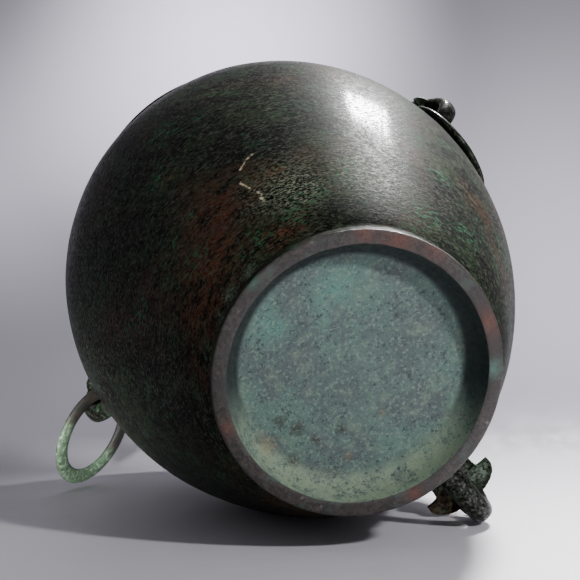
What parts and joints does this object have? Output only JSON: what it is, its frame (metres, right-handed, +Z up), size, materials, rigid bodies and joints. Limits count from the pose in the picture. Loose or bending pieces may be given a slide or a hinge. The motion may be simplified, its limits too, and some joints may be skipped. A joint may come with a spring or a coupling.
{
  "type": "bronze lei vessel",
  "caption": "Round-bellied bronze wine vessel on a hollow ring foot, with a flared open mouth, beast-head handles holding loose rings and a beast-head lug low on the front.",
  "frame": {"origin": "middle of the model's box at the plane that the foot stands on; the vessel's axis is at x -0.0245, y 0.0112, because one ring and the front lug reach out further than the other sides", "axes": "+Z up along the vessel's axis, from the foot to the mouth; the shoulder handles on the +X and -X sides; the front lug on the -Y side"},
  "size_m": [0.445, 0.3724, 0.468],
  "materials": {
    "dark_bronze": "smooth dark patina with green and reddish-brown mottling",
    "ring_right_bronze": "pale green patina",
    "ring_left_bronze": "dark patina"
  },
  "bodies": {
    "vessel": {"vessel": "dark_bronze"},
    "ring_right": {"ring_right": "ring_right_bronze"},
    "ring_left": {"ring_left": "ring_left_bronze"}
  },
  "joints": [
    {"name": "ring_right_swing", "type": "hinge", "parent": "vessel", "child": "ring_right", "pos_m": [0.14594, 0.02066, 0.33274], "axis": [0.6327, 0.7714, 0.0682], "range_deg": [0, 88]},
    {"name": "ring_left_swing", "type": "hinge", "parent": "vessel", "child": "ring_left", "pos_m": [-0.18774, 0.02046, 0.318], "axis": [0.9573, 0.0165, -0.2885], "range_deg": [0, 82]}
  ]
}
